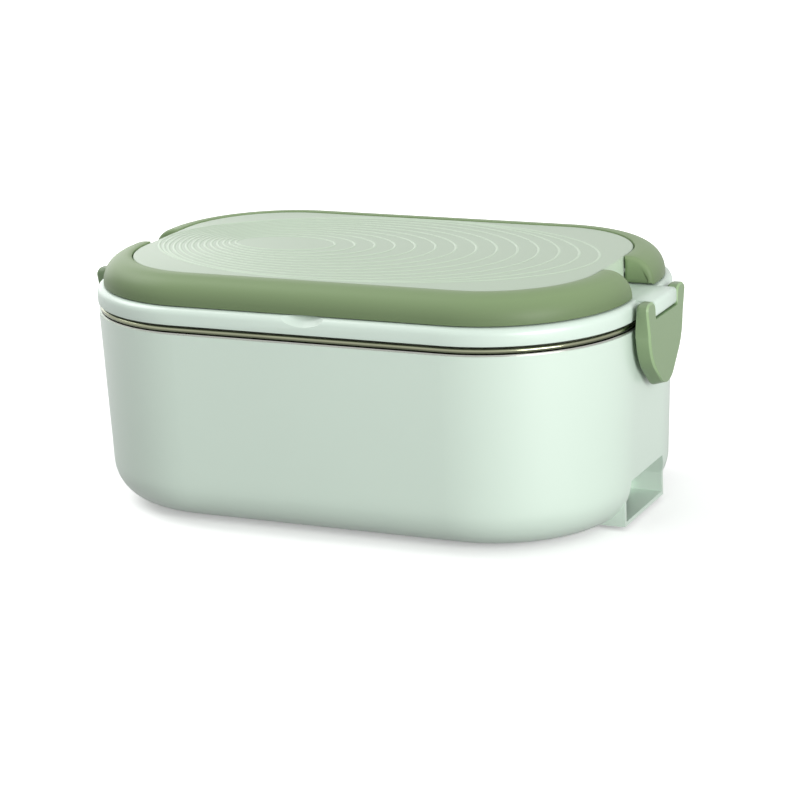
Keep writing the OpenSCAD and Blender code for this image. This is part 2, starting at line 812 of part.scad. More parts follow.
module latch_pins() {
    color([0.75, 0.75, 0.76]) for (side = [0, 180])
        rotate([0, 0, side]) translate([latch_pin_x, 0, latch_pin_z])
            rod_y(latch_pin_r, latch_w - 6);
}

// ---------- Grips ----------

grip_z = ledge_z + swing_gap;
grip_in = panel_inset - swing_gap;

module grip_section() {
    rounded_section(u(grip_in), u(grip_inset), grip_z, top_z, grip_r);
}

// The hollow under the grip
module channel_section() {
    rounded_section(u(grip_in - grip_wall), u(grip_inset + grip_wall), grip_z - eps,
                    top_z - grip_wall, grip_r - grip_wall);
}

// The corner between a level and an end face, outside a radius about the line y, z
module end_corner(y, z, r, up) {
    difference() {
        translate([-end_x, y - r - eps, up > 0 ? z : z - r - eps])
            cube([lid_l, r + eps, r + eps]);
        translate([0, y, z]) rod_x(r, -end_x - eps, end_x + eps);
    }
}

// The rear half of the grip ring; its lower end corners clear the ledge as it swings
module grip_half() {
    round_r = 2;
    difference() {
        intersection() {
            edge_loop() grip_section();
            translate([-end_x, grip_gap / 2, 0]) cube([lid_l, lid_w / 2, top_z + eps]);
        }
        intersection() {
            edge_loop() channel_section();
            translate([-end_x, hinge_y + 10, 0]) cube([lid_l, lid_w / 2, top_z]);
        }
        end_corner(hinge_y, hinge_z, hinge_up - gap, -1);
        end_corner(grip_gap / 2 + round_r, top_z - round_r, round_r, 1);
        for (side = [0, 180])
            mirror([side / 180, 0, 0]) translate([0, hinge_y, hinge_z])
                rod_x(grip_pin_r + run_fit, pin_x0, pin_x0 + grip_pin_l + gap);
    }
}

module grip_front() {
    color([0.57, 0.63, 0.48]) mirror([0, 1, 0]) grip_half();
}

module grip_rear() {
    color([0.57, 0.63, 0.48]) grip_half();
}

// ---------- Latches ----------

latch_x = end_x + latch_out - latch_t;
horn_z = ledge_z + horn_up;
horn_r = latch_pin_drop + horn_up;
tip_z = ledge_z - latch_drop;
fork_z = ledge_z - tongue_h - swing_gap;

// A latch seen from its end: two horns, rounded flanks and a rounded tip
module latch_face() {
    half = latch_w / 2;
    corner_r = 3;
    hull() {
        for (sy = [-1, 1]) {
            translate([sy * (half - corner_r), horn_z - corner_r]) circle(corner_r);
            translate([sy * (half - flank_r), tip_z + flank_up]) circle(flank_r);
        }
        translate([0, tip_z + tip_r]) circle(tip_r);
    }
}

// A latch seen from the front: a plate whose horns are round about the pin
module latch_side() {
    translate([latch_x, tip_z]) square([latch_t, latch_pin_z - tip_z]);
    intersection() {
        translate([latch_x, latch_pin_z - eps]) square([latch_t, horn_r + 2 * eps]);
        translate([latch_pin_x, latch_pin_z]) circle(horn_r);
    }
}

module latch() {
    fork_w = tongue_w + 2 * swing_gap - 0.2;
    nib_z = rim_z - catch_drop - gap;
    color([0.60, 0.66, 0.55]) {
        difference() {
            intersection() {
                translate([end_x - eps, 0, 0]) rotate([90, 0, 90])
                    linear_extrude(latch_out + 2 * eps) latch_face();
                rotate([90, 0, 0]) linear_extrude(latch_w + 2, center = true) latch_side();
            }
            translate([end_x - eps, -fork_w / 2, fork_z])
                cube([latch_out + 3 * eps, fork_w, horn_z - fork_z + eps]);
            translate([latch_pin_x, 0, latch_pin_z])
                rod_y(latch_pin_r + run_fit, latch_w - 6 + gap);
        }
        translate([end_x - body_inset + catch_d + gap, -catch_w / 2 + 1, nib_z - 3])
            cube([latch_x - end_x + body_inset - catch_d - gap + eps, catch_w - 2, 3 - gap]);
    }
}

module latch_right() {
    latch();
}

module latch_left() {
    rotate([0, 0, 180]) latch();
}

outer_shell();
base_plate();
base_screws();
rubber_feet();
heating_liner();
heating_plate();
heating_element();
element_strap();
heater_screws();
thermostat();
thermal_fuse();
fuse_holder();
insulation_sheet();
inlet_socket();
inlet_pins();
inlet_screws();
live_wire();
link_wire();
fuse_wire();
neutral_wire();
food_container();
lid_base();
lid_panel();
lid_liner();
lid_seal();
lid_screws();
grip_pins();
latch_pins();
grip_front();
grip_rear();
latch_left();
latch_right();
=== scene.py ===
# %% [markdown]
# # An electric lunch box
# A heated lunch box has a plastic body, a steel food container whose rolled rim shows as a thin band,
# and a lid with two end latches and a ring of two swing-up grips. The working parts come in as a fixed
# frame. This script gives them their finish, and models the pieces whose rounded edges make the look.

import json
from math import acos, atan2, cos, pi, radians, sin, sqrt, tan

import bmesh
import bpy
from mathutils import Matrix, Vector


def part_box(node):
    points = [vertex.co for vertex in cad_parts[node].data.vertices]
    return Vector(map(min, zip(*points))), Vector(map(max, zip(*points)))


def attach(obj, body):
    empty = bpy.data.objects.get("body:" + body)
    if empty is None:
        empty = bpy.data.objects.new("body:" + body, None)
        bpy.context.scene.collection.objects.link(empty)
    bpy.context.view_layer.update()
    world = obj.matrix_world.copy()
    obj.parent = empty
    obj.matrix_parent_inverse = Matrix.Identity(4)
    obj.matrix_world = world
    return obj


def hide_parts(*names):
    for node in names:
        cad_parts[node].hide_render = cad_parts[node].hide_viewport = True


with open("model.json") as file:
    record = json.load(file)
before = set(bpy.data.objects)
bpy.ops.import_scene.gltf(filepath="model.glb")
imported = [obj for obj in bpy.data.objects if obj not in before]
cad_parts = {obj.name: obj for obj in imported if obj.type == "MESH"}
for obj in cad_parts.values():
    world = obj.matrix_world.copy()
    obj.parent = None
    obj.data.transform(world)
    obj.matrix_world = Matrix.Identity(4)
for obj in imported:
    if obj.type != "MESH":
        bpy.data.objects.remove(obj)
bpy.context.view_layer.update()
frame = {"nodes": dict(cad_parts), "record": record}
nodes = frame["nodes"]
bpy.ops.object.select_all(action="DESELECT")

# %% [markdown]
# ## Sizes
# The lid's outline is the driving shape. Its half sizes come from the frame, because the top panel is
# set back evenly from it, and its corners are arcs of 60 mm. Everything else is a step back from that
# outline and a height, so the pieces nest inside each other by themselves. NEAR is how close two
# places have to be to count as one when faces and edges are picked.

# %% Sizes of the lid and its neighbours
MM = 0.001
NEAR = 0.01 * MM
corner_radius = 60 * MM
panel_low, panel_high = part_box("lid_panel")
lid_low, lid_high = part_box("lid_base")
grip_low, grip_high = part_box("grip_rear")
latch_low, latch_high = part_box("latch_right")

half_width = lid_high.y
panel_inset = half_width - panel_high.y
half_length = panel_high.x + panel_inset
ledge_z = panel_low.z
top_z = panel_high.z
skirt_z = lid_low.z
print("lid", round(2 * half_length / MM, 1), "x", round(2 * half_width / MM, 1), "mm")
print("ledge at", round(ledge_z / MM, 1), "mm")

# %% [markdown]
# ## The camera
# A long lens far away keeps the sides nearly parallel, as product pictures do. The camera stands in
# front and to the right, a little above the lid, and leans by about two degrees. It is placed by its
# own point and the point it looks at, so the direction between them gives its rotation.

# %% Camera
camera_place = Vector((480.947, -1013.053, 354.084)) * MM
camera_aim = Vector((6.225, -0.515, 40.901)) * MM
camera_lean = radians(-2.297)
camera_lens, sensor_width = 121.98, 36
camera_sight = 20


def look_at(place, aim):
    """The rotation of a camera or lamp that stands at one point and faces another"""
    return (Vector(aim) - Vector(place)).to_track_quat("-Z", "Y").to_euler()


camera_data = bpy.data.cameras.new("camera")
camera_data.lens = camera_lens
camera_data.sensor_width = sensor_width
camera_data.clip_end = camera_sight
camera = bpy.data.objects.new("camera", camera_data)
bpy.context.scene.collection.objects.link(camera)
camera.location = camera_place
camera.rotation_euler = look_at(camera_place, camera_aim)
camera.rotation_euler.rotate_axis("Z", camera_lean)
bpy.context.scene.camera = camera
print("camera", round((camera_aim - camera_place).length / MM), "mm away")

# %% [markdown]
# ## Modelling helpers
# Nearly every piece of this box is the same rounded rectangle with another section. A plane whose four
# corners are bevelled gives the outline, and inset with a depth then climbs or steps in along a
# section, one face loop at a time. Faces and edges are picked by their place, as one would by hand.


# %% Edit helpers
def start_piece(name):
    """The primitive that was just added becomes a named piece with its place in its mesh"""
    piece = bpy.context.object
    piece.name = name
    piece.data.name = name
    bpy.ops.object.transform_apply(location=True, rotation=True, scale=True)
    return piece


def only_nothing():
    """Back to object mode, with nothing selected"""
    if bpy.context.object and bpy.context.object.mode != "OBJECT":
        bpy.ops.object.mode_set(mode="OBJECT")
    bpy.ops.object.select_all(action="DESELECT")


def only(piece):
    """Back to object mode, with this piece alone selected"""
    only_nothing()
    piece.select_set(True)
    bpy.context.view_layer.objects.active = piece


def edit(piece):
    """Into edit mode, on this piece alone"""
    only(piece)
    bpy.ops.object.mode_set(mode="EDIT")


def pick(piece, kind, wanted):
    """Selects the faces, edges or verts that wanted() accepts, and counts them"""
    bpy.ops.mesh.select_mode(type={"faces": "FACE", "edges": "EDGE", "verts": "VERT"}[kind])
    bpy.ops.mesh.select_all(action="DESELECT")
    mesh = bmesh.from_edit_mesh(piece.data)
    count = 0
    for item in getattr(mesh, kind):
        if wanted(item):
            item.select_set(True)
            count += 1
    mesh.select_flush_mode()
    bmesh.update_edit_mesh(piece.data)
    return count


def middle(edge):
    """The point halfway along an edge"""
    return (edge.verts[0].co + edge.verts[1].co) / 2


def sharp(edge, degrees):
    """True where the two faces of an edge turn more than an angle"""
    return len(edge.link_faces) == 2 and edge.calc_face_angle(0) > radians(degrees)


def face_at(z, up=1):
    """A test for the level faces at a height that look up, or down with up = -1"""
    return lambda face: abs(face.calc_center_median().z - z) < NEAR and face.normal.z * up > 0.9


def step(inward, outward):
    """Insets the selected face and moves it out of the surface"""
    bpy.ops.mesh.inset(thickness=inward, depth=outward, use_even_offset=True)


def round_over(radius, steps):
    """A quarter round on the selected face's edge, climbed in small insets"""
    for k in range(steps):
        a, b = radians(90 * k / steps), radians(90 * (k + 1) / steps)
        step(radius * (cos(a) - cos(b)), radius * (sin(b) - sin(a)))


def soften(piece, wanted, radius, steps, clamp=False):
    """Rounds the edges that wanted() accepts, and counts them"""
    count = pick(piece, "edges", wanted)
    bpy.ops.mesh.bevel(offset=radius, segments=steps, affect="EDGES", clamp_overlap=clamp)
    return count


def outward_normals():
    """Turns all faces of the edited piece outwards"""
    bpy.ops.mesh.select_all(action="SELECT")
    bpy.ops.mesh.normals_make_consistent(inside=False)


# %% Outline helpers
CORNER_STEPS = 32


def add_outline(name, inset, z, height):
    """A solid slab with the lid's outline set back by inset, with its top face selected"""
    only_nothing()
    bpy.ops.mesh.primitive_plane_add(size=2, location=(0, 0, z))
    bpy.context.object.scale = (half_length - inset, half_width - inset, 1)
    piece = start_piece(name)
    edit(piece)
    bpy.ops.mesh.select_all(action="SELECT")
    bpy.ops.mesh.bevel(offset=corner_radius - inset, offset_type="OFFSET", segments=CORNER_STEPS,
                       affect="VERTICES")
    bpy.ops.mesh.extrude_region_move(TRANSFORM_OT_translate={"value": (0, 0, height)})
    outward_normals()
    pick(piece, "faces", face_at(z + height))
    return piece


def add_ring(name, outer, inner, z, z_top, radius, steps):
    """A closed ring with a rounded upper outer edge, between two insets"""
    piece = add_outline(name, outer, z, z_top - z - radius)
    round_over(radius, steps)
    step(inner - outer - radius, 0)
    bpy.ops.mesh.delete(type="FACE")
    pick(piece, "faces", face_at(z, -1))
    step(inner - outer, 0)
    bpy.ops.mesh.delete(type="FACE")
    reach = half_length - inner + 5 * NEAR
    pick(piece, "edges", lambda e: e.is_boundary and abs(middle(e).x) < reach)
    bpy.ops.mesh.bridge_edge_loops()
    outward_normals()
    return piece


# %% Solid helpers
ROD_SIDES, BALL_SIDES = 32, 128


def combine(piece, tool, how):
    """Joins two solids or cuts one out of the other, and removes the tool"""
    only(piece)
    modifier = piece.modifiers.new("combine", "BOOLEAN")
    modifier.operation = how
    modifier.solver = "EXACT"
    modifier.object = tool
    bpy.ops.object.modifier_apply(modifier=modifier.name)
    bpy.data.objects.remove(tool, do_unlink=True)


def join(pieces):
    """Several solids become one object, the first one"""
    only(pieces[0])
    for piece in pieces[1:]:
        piece.select_set(True)
    bpy.ops.object.join()
    return pieces[0]


def add_block(name, corner, opposite):
    """A block between two opposite corners"""
    only_nothing()
    corner, opposite = Vector(corner), Vector(opposite)
    bpy.ops.mesh.primitive_cube_add(size=1, location=(corner + opposite) / 2)
    bpy.context.object.scale = [abs(length) for length in opposite - corner]
    return start_piece(name)


def add_rod(name, centre, radius, length, along):
    """A rod that lies along x or y"""
    only_nothing()
    turn = {"x": (0, radians(90), 0), "y": (radians(90), 0, 0)}[along]
    bpy.ops.mesh.primitive_cylinder_add(vertices=ROD_SIDES, radius=radius, depth=length, location=centre,
                                        rotation=turn)
    return start_piece(name)


def add_ball(name, centre, radius):
    """A ball with its poles up and down"""
    only_nothing()
    bpy.ops.mesh.primitive_uv_sphere_add(segments=BALL_SIDES, ring_count=BALL_SIDES // 2, radius=radius,
                                         location=centre)
    return start_piece(name)


def smooth(piece, degrees):
    """Smooth shading over every edge that turns less than an angle"""
    only(piece)
    bpy.ops.object.shade_smooth_by_angle(angle=radians(degrees))
    return piece


# %% [markdown]
# ## The lid's rim
# The rim is one moulding: a skirt, a ledge with a rounded edge, a finger scoop in the middle of each
# long side, and a tongue at each end that a latch turns on. The skirt climbs from the outline, the
# tongues are added as blocks, and balls cut the scoops, so the ball's own curve makes their edge.

# %% Skirt and ledge
ledge_radius = 2.9 * MM
lip_radius = 0.4 * MM
skirt_wall = 2.2 * MM
roof_z = ledge_z - skirt_wall

rim = add_outline("lid_rim", 0, skirt_z + lip_radius, ledge_z - ledge_radius - skirt_z - lip_radius)
round_over(ledge_radius, 8)
pick(rim, "faces", face_at(skirt_z + lip_radius, -1))
round_over(lip_radius, 3)
step(skirt_wall - lip_radius, 0)
step(0, -(roof_z - skirt_z))
outward_normals()
only_nothing()
print("rim faces", len(rim.data.polygons))

# %% Tongues, and the thick walls behind the scoops
tongue_half, tongue_thick = 12.9 * MM, 7 * MM
tongue_reach = lid_high.x
tongue_low = ledge_z - tongue_thick
tongue_root = half_length - skirt_wall - 1 * MM
tongue_edge, tongue_side_edge = 1.6 * MM, 0.35 * MM


def add_tongue(side):
    """A block that reaches out past the skirt, with a round on its free edges"""
    tongue = add_block("tongue", (side * tongue_root, -tongue_half, tongue_low),
                       (side * tongue_reach, tongue_half, ledge_z))
    edit(tongue)
    soften(tongue, lambda e: abs(middle(e).y) < NEAR and abs(middle(e).x - side * tongue_reach) < NEAR,
           tongue_edge, 8)
    soften(tongue, lambda e: sharp(e, 60) and abs(abs(middle(e).y) - tongue_half) < NEAR
           and abs(middle(e).x) > tongue_root + 0.5 * MM, tongue_side_edge, 2)
    only_nothing()
    return tongue


scoop_width, scoop_depth, scoop_drop = 23 * MM, 5 * MM, 3.9 * MM
scoop_flat = ((scoop_width / 2) ** 2 + scoop_depth ** 2) / (2 * scoop_depth)
scoop_y = half_width + scoop_flat - scoop_depth
scoop_rise = (scoop_flat ** 2 - (scoop_y - half_width) ** 2 - scoop_drop ** 2) / (2 * scoop_drop)
scoop_radius = sqrt(scoop_flat ** 2 + scoop_rise ** 2)

thick_half, thick_inner, thick_outer = 14 * MM, 4.7 * MM, 1 * MM
thick_low, thick_high = skirt_z + 1 * MM, roof_z + 0.6 * MM
thick_y, thick_reach = half_width - (thick_inner + thick_outer) / 2, (thick_inner - thick_outer) / 2
added = [add_tongue(1), add_tongue(-1)]
for y in (thick_y, -thick_y):
    added.append(add_block("scoop_wall", (-thick_half, y - thick_reach, thick_low),
                           (thick_half, y + thick_reach, thick_high)))
combine(rim, join(added), "UNION")
print("rim faces with tongues", len(rim.data.polygons))

# %% Scoops and pin bores
latch_thick = 5.4 * MM
pin_x, pin_z = latch_high.x - latch_thick / 2, ledge_z - tongue_thick / 2
pin_bore = 1.22 * MM
cutters = []
for side in (1, -1):
    cutters.append(add_ball("scoop_ball", (0, side * scoop_y, ledge_z + scoop_rise), scoop_radius))
for side in (1, -1):
    cutters.append(add_rod("pin_bore", (side * pin_x, 0, pin_z), pin_bore, 3 * tongue_half, "y"))
combine(rim, join(cutters), "DIFFERENCE")
print("rim faces with scoops", len(rim.data.polygons))

# %% [markdown]
# A moulding has no razor edges. The scoop's edge gets a narrow round, and the corners where a tongue
# leaves the skirt get a hollow fillet, which is the same bevel on an edge that points inwards.

# %% Soft edges on the rim
fillet_radius, scoop_edge = 1.1 * MM, 0.3 * MM
loose = 2 * NEAR


def at_junction(edge):
    """True for the upright edges where a tongue's sides meet the skirt"""
    spot = middle(edge)
    return (abs(abs(spot.y) - tongue_half) < loose
            and half_length - ledge_radius - 0.1 * MM < abs(spot.x) < half_length + loose
            and tongue_low + 0.05 * MM < spot.z < ledge_z - 0.7 * MM)


def on_scoop(edge):
    """True for edges that lie on a scoop's ball, up to its upper part"""
    ball = Vector((0, scoop_y if middle(edge).y > 0 else -scoop_y, ledge_z + scoop_rise))
    return (all(abs((v.co - ball).length - scoop_radius) < 5 * NEAR for v in edge.verts)
            and middle(edge).z > skirt_z + 2 * MM)


edit(rim)
bpy.ops.mesh.select_all(action="SELECT")
bpy.ops.mesh.remove_doubles(threshold=loose)
junctions = soften(rim, lambda e: sharp(e, 40) and at_junction(e), fillet_radius, 5)
scoops = soften(rim, lambda e: sharp(e, 20) and on_scoop(e), scoop_edge, 2, clamp=True)
smooth(rim, 30)
print("fillet edges", junctions, "scoop edges", scoops)

# %% [markdown]
# ## The top panel
# The panel is a shallow cap with a small round on its edge. Its pattern is a set of fine raised
# ripples: ovals that each sit a little further along and grow a little, and the outer ones stay just
# inside the panel's long edges. Each one is a flat oval face that is inset with a rise and then a
# fall, which leaves a low ring that is closed from below.

# %% Panel cap
panel_edge = 0.8 * MM
panel_wall = 1.8 * MM
ripple_height = 0.3 * MM
flat_z = top_z - ripple_height

panel = add_outline("lid_top", panel_inset, ledge_z, flat_z - panel_edge - ledge_z)
round_over(panel_edge, 5)
pick(panel, "faces", face_at(ledge_z, -1))
step(panel_wall, 0)
step(0, -(flat_z - 2 * panel_wall - ledge_z))
outward_normals()
only_nothing()
print("cap faces", len(panel.data.polygons))

# %% Ripples
ripple_count = 14
ripple_width = 1.5 * MM
ripple_sink = 0.05 * MM
ripple_climb = (0.7, 0.3, -0.3, -0.7)
ripple_sides = 128
first_centre, centre_step = -45.4 * MM, 3.26 * MM
first_long, long_step = 23.7 * MM, 5.86 * MM
first_short, short_step, short_limit = 14 * MM, 4.3 * MM, 59.6 * MM


def add_ripple(k):
    """A low oval ring whose section climbs and falls by the shares in ripple_climb"""
    long_half = first_long + k * long_step
    short_half = min(first_short + k * short_step, short_limit)
    only_nothing()
    bpy.ops.mesh.primitive_circle_add(vertices=ripple_sides, radius=1, fill_type="NGON",
                                      location=(first_centre + k * centre_step, 0, flat_z - ripple_sink))
    bpy.context.object.scale = (long_half, short_half, 1)
    ripple = start_piece("ripple")
    edit(ripple)
    bpy.ops.mesh.select_all(action="SELECT")
    for share in ripple_climb:
        step(ripple_width / len(ripple_climb), share * (ripple_height + ripple_sink))
    bpy.ops.mesh.delete(type="FACE")
    pick(ripple, "edges", lambda e: e.is_boundary)
    bpy.ops.mesh.bridge_edge_loops()
    outward_normals()
    only_nothing()
    return ripple


panel = join([panel] + [add_ripple(k) for k in range(ripple_count)])
smooth(panel, 40)
print("panel faces", len(panel.data.polygons))

# %% [markdown]
# ## The grips
# The two grips are halves of one rounded ring that rests on the ledge. Each one starts as the whole
# ring, and a plane takes the other half away and fills the cut. The end faces then get a round edge,
# which also keeps them clear of the ledge as they swing up, and a smaller ring hollows the grip from
# below, except near the hinges.

# %% Grip sizes
grip_outer = half_length - grip_high.x
grip_inner = panel_inset - 0.5 * MM
grip_round = 10.5 * MM
grip_wall = 2.5 * MM
grip_end_y = grip_low.y
grip_end_round = 2 * MM
grip_top_edge = 0.3 * MM
hinge_y, hinge_z = grip_end_y + 3 * MM, ledge_z + 5.4 * MM
solid_end = hinge_y + 10 * MM
bore_radius, bore_length = 1.56 * MM, 15.2 * MM
print("hinge at", round(hinge_y / MM, 1), round(hinge_z / MM, 1), "mm")


# %% Grips
def keep_half(ring, side, start):
    """Keeps one long side of a ring from a plane on, and fills the cut"""
    edit(ring)
    bpy.ops.mesh.select_all(action="SELECT")
    bpy.ops.mesh.bisect(plane_co=(0, side * start, 0), plane_no=(0, side, 0), clear_inner=True,
                        use_fill=True)
    outward_normals()


def add_grip(name, side):
    """One half of the ring, with round ends, a hollow underside and a bore at each end"""
    grip = add_ring(name, grip_outer, grip_inner, grip_low.z, top_z, grip_round, 14)
    keep_half(grip, side, grip_end_y)
    soften(grip, lambda e: sharp(e, 35) and all(abs(v.co.y - side * grip_end_y) < NEAR for v in e.verts),
           grip_end_round, 6)
    hollow = add_ring("hollow", grip_outer + grip_wall, grip_inner - grip_wall, grip_low.z - 1 * MM,
                      top_z - grip_wall, grip_round - grip_wall, 10)
    keep_half(hollow, side, solid_end)
    bores = [add_rod("bore", (end * (half_length - panel_inset), side * hinge_y, hinge_z), bore_radius,
                     bore_length, "x") for end in (1, -1)]
    combine(grip, join([hollow] + bores), "DIFFERENCE")
    edit(grip)
    soften(grip, lambda e: sharp(e, 50) and abs(middle(e).z - top_z) < NEAR, grip_top_edge, 2)
    return smooth(grip, 30)


grip_front = add_grip("front_grip", -1)
grip_rear = add_grip("rear_grip", 1)
print("grip faces", len(grip_rear.data.polygons))

# %% [markdown]
# ## The latches
# Seen from the end, a latch is a shield: straight sides, rounded flanks and a rounded tip, with a notch
# at the top that the lid's tongue fills. It starts as a plane that gets a pointed lower edge, and its
# corners are rounded by bevels. Its thickness comes next. The lower part of its outer face is then
# drawn in a little, so the flanks slant, and after the notch is cut its edges are softened.

# %% Shield sizes
latch_half = latch_high.y
latch_face = latch_high.x
latch_back = latch_face - latch_thick
horn_z, tip_z = latch_high.z, latch_low.z
flank_round, tip_round, horn_round = 20 * MM, 12.5 * MM, 3 * MM
flank_z = tip_z + 25 * MM
face_width, face_depth = 0.88, 0.94
notch_half = tongue_half + 0.4 * MM
notch_z = tongue_low - 0.5 * MM

# The two lower arcs touch one slanted line: its lean follows from their middles and their radii
run, drop = latch_half - flank_round, flank_z - tip_z - tip_round
lean = atan2(drop, run) - acos((tip_round - flank_round) / sqrt(run ** 2 + drop ** 2))
support = run * cos(lean) + flank_z * sin(lean) + flank_round
shoulder_z = (support - latch_half * cos(lean)) / sin(lean)
point_z = support / sin(lean)
print("latch shoulder", round(shoulder_z / MM, 1), "point", round(point_z / MM, 1))


# %% Shield outline
def bevel_corner(piece, wanted, radius, turn, steps):
    """Rounds picked corners of a flat outline; turn is how far the edge turns there"""
    pick(piece, "verts", wanted)
    bpy.ops.mesh.bevel(offset=radius * tan(turn / 2), offset_type="OFFSET", segments=steps,
                       affect="VERTICES")


def add_shield(name):
    """The latch's outline as one face on its back plane"""
    only_nothing()
    bpy.ops.mesh.primitive_plane_add(size=2, location=(latch_back, 0, (horn_z + shoulder_z) / 2),
                                     rotation=(0, radians(90), 0))
    bpy.context.object.scale = ((horn_z - shoulder_z) / 2, latch_half, 1)
    latch = start_piece(name)
    edit(latch)
    pick(latch, "edges", lambda e: abs(middle(e).z - shoulder_z) < NEAR)
    bpy.ops.mesh.extrude_region_move(TRANSFORM_OT_translate={"value": (0, 0, point_z - shoulder_z)})
    bpy.ops.mesh.merge(type="CENTER")
    bpy.ops.mesh.select_all(action="SELECT")
    bpy.ops.mesh.dissolve_faces()
    for z, radius, turn, steps in ((point_z, tip_round, 2 * (radians(90) + lean), 12),
                                   (shoulder_z, flank_round, -lean, 16),
                                   (horn_z, horn_round, radians(90), 8)):
        bevel_corner(latch, lambda v: abs(v.co.z - z) < NEAR, radius, turn, steps)
    return latch


# %% Latch edges
face_edge, back_edge, horn_dome, notch_round = 0.8 * MM, 0.5 * MM, 1.8 * MM, 3.6 * MM


def horn_corner(edge):
    """True for the inner upper edges of the two horns"""
    return (sharp(edge, 60) and abs(edge.verts[0].co.y - edge.verts[1].co.y) < NEAR
            and abs(abs(middle(edge).y) - notch_half) < NEAR and abs(middle(edge).z - horn_z) < NEAR)


def border(edge, x):
    """True for sharp edges around the flat side that stands at x"""
    return sharp(edge, 50) and all(abs(v.co.x - x) < NEAR for v in edge.verts)


def in_notch(edge):
    """True for edges in the lower part of the notch, which stay crisp"""
    return abs(middle(edge).y) < notch_half + NEAR and middle(edge).z < notch_z + notch_round


def soften_latch(latch):
    """A flat chamfer around the outer face, rounded horns and a fine round behind"""
    edit(latch)
    soften(latch, horn_corner, notch_round, 8)
    soften(latch, lambda e: border(e, latch_face) and not in_notch(e), face_edge, 1)
    soften(latch, lambda e: border(e, latch_back) and middle(e).z > pin_z + 0.5 * MM
           and not in_notch(e), horn_dome, 5)
    soften(latch, lambda e: border(e, latch_back), back_edge, 2)


# %% Latches
def add_latch(name, side):
    """A latch for the right end, or turned about for the left end"""
    latch = add_shield(name)
    bpy.ops.mesh.select_all(action="SELECT")
    bpy.ops.mesh.extrude_region_move(TRANSFORM_OT_translate={"value": (latch_face - latch_back, 0, 0)})
    pick(latch, "verts", lambda v: abs(v.co.x - latch_face) < NEAR and v.co.z < flank_z + 1 * MM)
    bpy.ops.transform.resize(value=(1, face_width, face_depth), center_override=(latch_face, 0, flank_z))
    outward_normals()
    notch = add_block("notch", (latch_back - 1 * MM, -notch_half, notch_z),
                      (latch_face + 1 * MM, notch_half, horn_z + 1 * MM))
    combine(latch, notch, "DIFFERENCE")
    soften_latch(latch)
    if side < 0:
        only(latch)
        latch.rotation_euler = (0, 0, pi)
        bpy.ops.object.transform_apply(rotation=True)
    return smooth(latch, 30)


latch_right = add_latch("right_latch", 1)
latch_left = add_latch("left_latch", -1)
print("latch faces", len(latch_right.data.polygons))

# %% [markdown]
# ## Shared surface effects
# Two effects turn up on every finish here, so each is a node group. Fine grain gives a height for the
# bump and a faint drift of tone, as moulded plastic has. Drawn lines give the long, very fine
# scratches of metal that was drawn or polished along one direction.


# %% Node helpers
def srgb(red, green, blue):
    """A colour given as 0 to 255 screen values, for a shader's socket"""
    def linear(value):
        value /= 255
        return value / 12.92 if value <= 0.04045 else ((value + 0.055) / 1.055) ** 2.4
    return (linear(red), linear(green), linear(blue), 1)


def new_group(name, inputs, outputs):
    """A shader node group with named sockets"""
    group = bpy.data.node_groups.new(name, "ShaderNodeTree")
    for label, kind, value in inputs:
        socket = group.interface.new_socket(label, in_out="INPUT", socket_type=kind)
        socket.default_value = value
    for label, kind in outputs:
        group.interface.new_socket(label, in_out="OUTPUT", socket_type=kind)
    return group, group.nodes.new("NodeGroupInput"), group.nodes.new("NodeGroupOutput")


def object_place(tree):
    """The point of the surface, in the piece's own coordinates"""
    return tree.nodes.new("ShaderNodeTexCoord").outputs["Object"]


def feed(tree, socket, value):
    """Sets a number on a socket, or links another node's output to it"""
    if isinstance(value, (int, float)):
        socket.default_value = value
    else:
        tree.links.new(value, socket)


def math_node(tree, how, first, second):
    """One step of arithmetic between numbers or other nodes' outputs"""
    node = tree.nodes.new("ShaderNodeMath")
    node.operation = how
    feed(tree, node.inputs[0], first)
    feed(tree, node.inputs[1], second)
    return node.outputs[0]


def times(tree, first, second):
    """Two colours or places multiplied, channel by channel"""
    node = tree.nodes.new("ShaderNodeVectorMath")
    node.operation = "MULTIPLY"
    tree.links.new(first, node.inputs[0])
    tree.links.new(second, node.inputs[1])
    return node.outputs[0]


def noise(tree, vector, scale, detail, roughness=0.5):
    """A cloudy pattern from 0 to 1"""
    node = tree.nodes.new("ShaderNodeTexNoise")
    node.inputs["Detail"].default_value = detail
    node.inputs["Roughness"].default_value = roughness
    feed(tree, node.inputs["Scale"], scale)
    tree.links.new(vector, node.inputs["Vector"])
    return node.outputs["Fac"]


def swing(tree, base, drift, amount):
    """A base value moved up and down by a drift that runs from 0 to 1"""
    offset = math_node(tree, "MULTIPLY", math_node(tree, "SUBTRACT", drift, 0.5), amount)
    return math_node(tree, "ADD", offset, base)


def toned(tree, colour, drift, amount):
    """The colour made lighter and darker by a drift"""
    node = tree.nodes.new("ShaderNodeVectorMath")
    node.operation = "SCALE"
    tree.links.new(colour, node.inputs[0])
    tree.links.new(swing(tree, 1, drift, amount), node.inputs["Scale"])
    return node.outputs[0]


